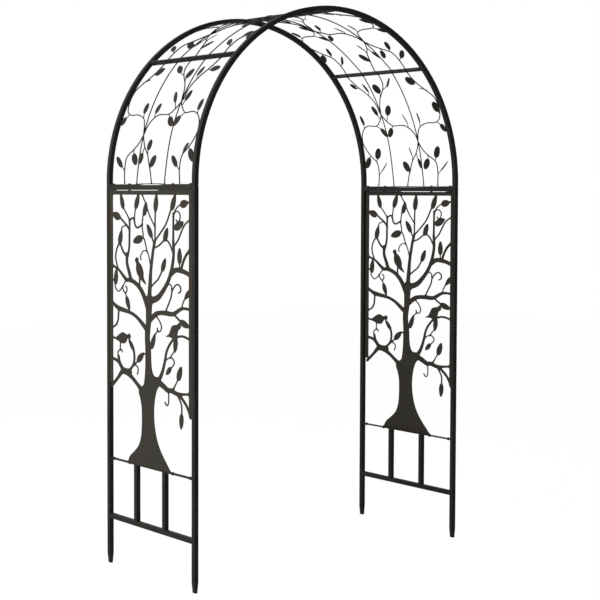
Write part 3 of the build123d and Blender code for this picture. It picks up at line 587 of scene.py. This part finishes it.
# Vine wires: five round wires to a panel, three of them waving from side to side and two nearly straight.
# They lie in one layer, spring apart where they cross, and are welded to the flat bars and to each other.
# The upper panels are a little longer, and their vines sit against the upper end.
wire, wire_points, wire_steps, vine_inset, vine_gap = 4.5, 10, 4, 5.0, 0.6
weld_swell, weld_reach, spring_reach = 0.9, 3.0, 36.0
bead_steps = np.array((0.0, 1.5, 3.0, 5.0, 8.0))
vine_lines = {
    "a": ((-181, 0), (-183, 38), (-181, 76), (-170, 98), (-135, 121), (-106, 148), (-93, 178), (-88, 204),
          (-73, 226), (-46, 246), (-18, 255), (36, 254), (61, 269), (77, 290), (88, 320), (92, 348),
          (104, 378), (126, 413), (151, 443), (172, 478), (180, 508)),
    "b": ((-4, 0), (-12, 35), (-20, 54), (-37, 96), (-64, 129), (-81, 164), (-88, 202), (-97, 221),
          (-114, 241), (-141, 254), (-170, 260), (-209, 260), (-237, 271), (-252, 293), (-260, 325),
          (-260, 352), (-255, 375), (-234, 401), (-204, 434), (-185, 470), (-180, 508)),
    "c": ((175, 0), (171, 38), (174, 76), (183, 98), (212, 122), (237, 152), (250, 180), (247, 211),
          (232, 237), (210, 253), (182, 259), (142, 256), (114, 276), (99, 297), (92, 320), (84, 342),
          (58, 382), (16, 426), (-5, 460), (-10, 508)),
    "d": ((-99, 0), (-92, 65), (-89, 150), (-88, 256), (-89, 350), (-92, 440), (-95, 508)),
    "e": ((81, 0), (88, 65), (90, 150), (90, 256), (88, 335), (85, 440), (82, 508))}
crossings = {"a": (-1, (204, 322)), "b": (1, (204,)), "c": (1, (322,)), "d": (0, (204,)), "e": (0, (322,))}

# Satin paint on wire and leaves: a shade lighter and warmer than on the tube, with hardly any shine.
vine_paint = painted_steel("satin bronze paint on wire", "322E2A", "2A2724", "3C362E", 0.55, 0.05)


def stand_off(name, s):
    """Offset outward: one wire and a gap at a crossing, fading away from it as a bell, less the inset."""
    layer, levels = crossings[name]
    bells = [np.exp(-((s - level) / spring_reach) ** 2) for level in levels]
    return layer * (wire + vine_gap) * np.max(bells, axis=0) - vine_inset


circle = np.linspace(0, 2 * np.pi, wire_points, endpoint=False)
wire_section = wire / 2 * np.stack([np.cos(circle), np.sin(circle)], axis=-1)
for level, (start, end) in hoop_levels.items():
    first, last = start + strip_thick + weld_gap, end - strip_thick - weld_gap
    lift = end - lower_arc
    shells = []
    for name, points in vine_lines.items():
        u, s = smooth_line(points, wire_steps).T
        s = s + lift
        middle = (s > first + bead_steps[-1]) & (s < last - bead_steps[-1])
        u = np.concatenate([np.full(len(bead_steps), u[0]), u[middle], np.full(len(bead_steps), u[-1])])
        s = np.concatenate([first + bead_steps, s[middle], last - bead_steps[::-1]])
        path = on_hoop(u, s, stand_off(name, s - lift))
        along = np.gradient(path, axis=0)
        along /= np.linalg.norm(along, axis=1, keepdims=True)
        across = np.cross(outward(s), along)
        across /= np.linalg.norm(across, axis=1, keepdims=True)
        bead = 1 + weld_swell * np.exp(-(np.minimum(s - first, last - s) / weld_reach) ** 2)
        shells.append(carry(path, across, np.cross(along, across), bead[:, None, None] * wire_section))
    for panel, turn in ((f"left_{level}", 1.0), (f"right_{level}", half_turn)):
        add_shells(f"{panel}_vine", [shell * turn for shell in shells], vine_paint,
                   f"{panel}_vine_wires")

# Vine leaves: spoon-shaped blades pressed from thin sheet, on short stems welded to the wires.
# Each is slightly cupped and twisted its own way; a few are missing, and one is bent aside.
leaf_width, leaf_sheet, leaf_cup, leaf_points = 25.5, 1.8, 0.07, 16
leaf_rows, stem_rows, stem_half, tip_half, stem_fade = 19, 3, 1.6, 0.3, 8
blade_power, blade_root, blade_loss = 0.47, 1.06, 0.12

# Each leaf is its wire, then root, blade base and tip; twists are in degrees, and None is a missing leaf.
leaves = (
    ("a", (-183, 40), (-200, 56), (-245, 94)), ("a", (-171, 97), (-177, 109), (-199, 158)),
    ("a", (-133, 122), (-132, 106), (-109, 62)), ("b", (-66, 131), (-72, 107), (-89, 65)),
    ("b", (-16, 45), (-14, 54), (16, 96)), ("b", (-38, 98), (-41, 116), (-27, 157)),
    ("c", (171, 40), (156, 54), (118, 93)), ("c", (182, 97), (176, 109), (158, 157)),
    ("c", (182, 97), (184, 110), (212, 138)), ("c", (214, 124), (222, 117), (250, 70)),
    ("c", (140, 256), (120, 243), (86, 206)), ("a", (38, 255), (49, 244), (79, 205)),
    ("b", (-222, 264), (-237, 251), (-262, 220)), ("c", (221, 247), (216, 262), (222, 308)),
    ("c", (107, 285), (114, 304), (131, 348)), ("a", (67, 276), (52, 303), (23, 349)),
    ("a", (-51, 243), (-53, 261), (-38, 303)), ("b", (-117, 242), (-123, 262), (-122, 307)),
    ("b", (-254, 298), (-249, 306), (-238, 352)), ("b", (-197, 446), (-183, 441), (-150, 475)),
    ("c", (53, 388), (42, 409), (58, 454)), ("c", (18, 424), (-17, 440), (-60, 479)),
    ("a", (117, 400), (107, 417), (118, 461)), ("a", (150, 442), (166, 440), (194, 463)),
    ("b", (-236, 399), (-233, 408), (-195, 419)))
leaf_twists = {
    "left_lower": (0, None, -20, -8, 10, 5, 0, None, -17, -15, -8, -12, -5, 0, 2, -8, 0, 5, None, 15,
                   10, 8, -3, 5, -25),
    "right_lower": (-45, 25, -25, 15, 20, -35, -43, 35, None, -15, 0, -5, 0, -12, -2, 25, -32, -28, 40, 45,
                    40, -45, -17, -5, -45),
    "left_upper": (0, None, -35, -1, 1, -10, 0, None, 5, -20, 5, 0, -5, 0, 10, -10, 0, 5, -20, 10,
                   10, 5, -5, 5, -20),
    "right_upper": (-15, -3, 0, 5, 9, -19, -35, -10, None, -15, -2, 5, -5, 0, 3, -10, -12, -14, 6, -8,
                    -11, -72, 0, 10, -10)}
bent_leaves = {("left_lower", 23): ((150, 442), (170, 441), (222, 447))}
leaf_round = np.linspace(0, 2 * np.pi, leaf_points, endpoint=False)


def pressed_leaf(root, base, tip, face, roll):
    """Rings of a round stem and a thin cupped blade, whose half width is a power of 4t(1 - t) along it."""
    t = np.concatenate([np.zeros(stem_rows), (1 - np.cos(np.linspace(0, np.pi, leaf_rows - stem_rows))) / 2])
    stem_share = np.clip(np.arange(leaf_rows) / stem_rows, 0, 1)
    centre = root + (base - root) * stem_share[:, None] + (tip - base) * t[:, None]
    oval = leaf_width / 2 * (4 * t * (1 - t)) ** blade_power * (blade_root - blade_loss * t)
    half = np.maximum(oval, stem_half * (1 - t) + tip_half)
    thick = leaf_sheet / 2 + (stem_half - leaf_sheet / 2) * (1 - t) ** stem_fade
    side = np.cross(face, tip - base)
    side /= np.linalg.norm(side)
    side_now = np.cos(roll) * side + np.sin(roll) * face
    face_now = np.cos(roll) * face - np.sin(roll) * side
    b, c = np.cos(leaf_round), np.sin(leaf_round)
    lift = leaf_cup * half[:, None] * b ** 2 + thick[:, None] * c
    return centre[:, None] + (half[:, None] * b)[..., None] * side_now + lift[..., None] * face_now


for level, (_, end) in hoop_levels.items():
    lift = end - lower_arc
    for panel, turn in ((f"left_{level}", 1.0), (f"right_{level}", half_turn)):
        shells = []
        for number, ((name, *points), twist) in enumerate(zip(leaves, leaf_twists[panel])):
            if twist is None:
                continue
            points = bent_leaves.get((panel, number), points)
            out = stand_off(name, points[0][1])
            root, blade_base, tip = (on_hoop(u, lift + s, out) for u, s in points)
            face = outward(lift + points[1][1])
            shells.append(pressed_leaf(root, blade_base, tip, face, np.radians(twist)) * turn)
        add_shells(f"{panel}_leaf_set", shells, vine_paint, f"{panel}_vine_leaves")

# Fasteners: hexagon bolts with nuts through the flat bars, and round-headed screws at the tops of the legs.
# They are painted with the rest, so they show as small dark knobs.
bolt_rows, screw_level = (-249.0, -140.0, 140.0, 249.0), 392.0
bolt_half, hex_half, head_high, nut_high, bolt_points = 2.0, 4.4, 3.4, 3.6, 24
thread_out, thread_full, thread_tip = 1.2, 0.8, 1.4
nut_chamfer, head_chamfer, head_round = 0.6, 0.7, 0.8

# Satin paint on bolts: as dark as on the tube and a touch glossier, so the small heads catch a little light.
fastener_paint = painted_steel("satin bronze paint on bolts", "2C2926", "262422", "36322C", 0.5, 0.06)
about = np.linspace(0, 2 * np.pi, bolt_points, endpoint=False)
hexagon, plain = 1 / np.cos((about + np.pi / 6) % (np.pi / 3) - np.pi / 6), np.ones(bolt_points)
screw_rings = ((-0.5, 4.2, plain), (0.0, 4.5, plain), (1.0, 4.3, plain), (1.8, 3.4, plain), (2.3, 2.0, plain),
               (2.5, 0.6, plain))


def turned(origin, axis, rings):
    """Rings about an axis, each with a height and a radius that its outline scales point by point."""
    origin, axis = np.array(origin, float), np.array(axis, float)
    e = np.cross((0.0, 1.0, 0.0), axis)
    f = np.cross(axis, e)
    spokes = np.cos(about)[:, None] * e + np.sin(about)[:, None] * f
    heights = np.array([height for height, _, _ in rings])
    reach_out = np.stack([wide * outline for _, wide, outline in rings])
    return origin + heights[:, None, None] * axis + reach_out[..., None] * spokes


def hex_bolt(origin, axis, grip):
    """Thread end, nut, shank through the grip, and head; the ends of the hexagons are turned round."""
    low = -grip - nut_high
    return turned(origin, axis, (
        (low - thread_out, thread_tip, plain), (low - thread_full, bolt_half, plain), (low, bolt_half, plain),
        (low, hex_half - nut_chamfer, plain), (low + nut_chamfer, hex_half, hexagon),
        (-grip, hex_half, hexagon), (-grip, bolt_half, plain), (0.0, bolt_half, plain),
        (0.0, hex_half, hexagon), (head_high - head_chamfer, hex_half, hexagon),
        (head_high, hex_half - head_round, plain)))


strip_head = post_top + weld_gap + strip_thick
mid_rise, mid_at = upward(lower_arc), on_hoop(0.0, lower_arc)
mid_head = mid_at + strip_thick * mid_rise
crown_half = strip_thick + 2 * weld_gap
bolt_sets = {
    "sill_bolts": [((x, y, sill_level + sill_thick), (0, 0, 1), 2 * sill_thick)
                   for _, x in frame_sides for y in bolt_rows],
    "spring_bolts": [((x, y, strip_head), (0, 0, 1), strip_thick + weld_gap + tube)
                     for _, x in frame_sides for y in bolt_rows],
    "mid_bolts": [((sx * mid_head[0], y, mid_head[2]), (sx * mid_rise[0], 0, mid_rise[2]), 2 * strip_thick)
                  for sx in (1, -1) for y in bolt_rows],
    "apex_bolts": [((crown_half, y, hoop_level + radius), (1, 0, 0), 2 * crown_half) for y in bolt_rows]}
for name, bolts in bolt_sets.items():
    add_shells(name.replace("bolts", "hex_bolts"), [hex_bolt(*bolt) for bolt in bolts], fastener_paint,
               name)
screws = [turned((x + np.sign(x) * tube / 2, y, screw_level), (np.sign(x), 0, 0), screw_rings)
          for _, x in frame_sides for _, y in frame_places]
add_shells("leg_screw_heads", screws, fastener_paint, "leg_screws")
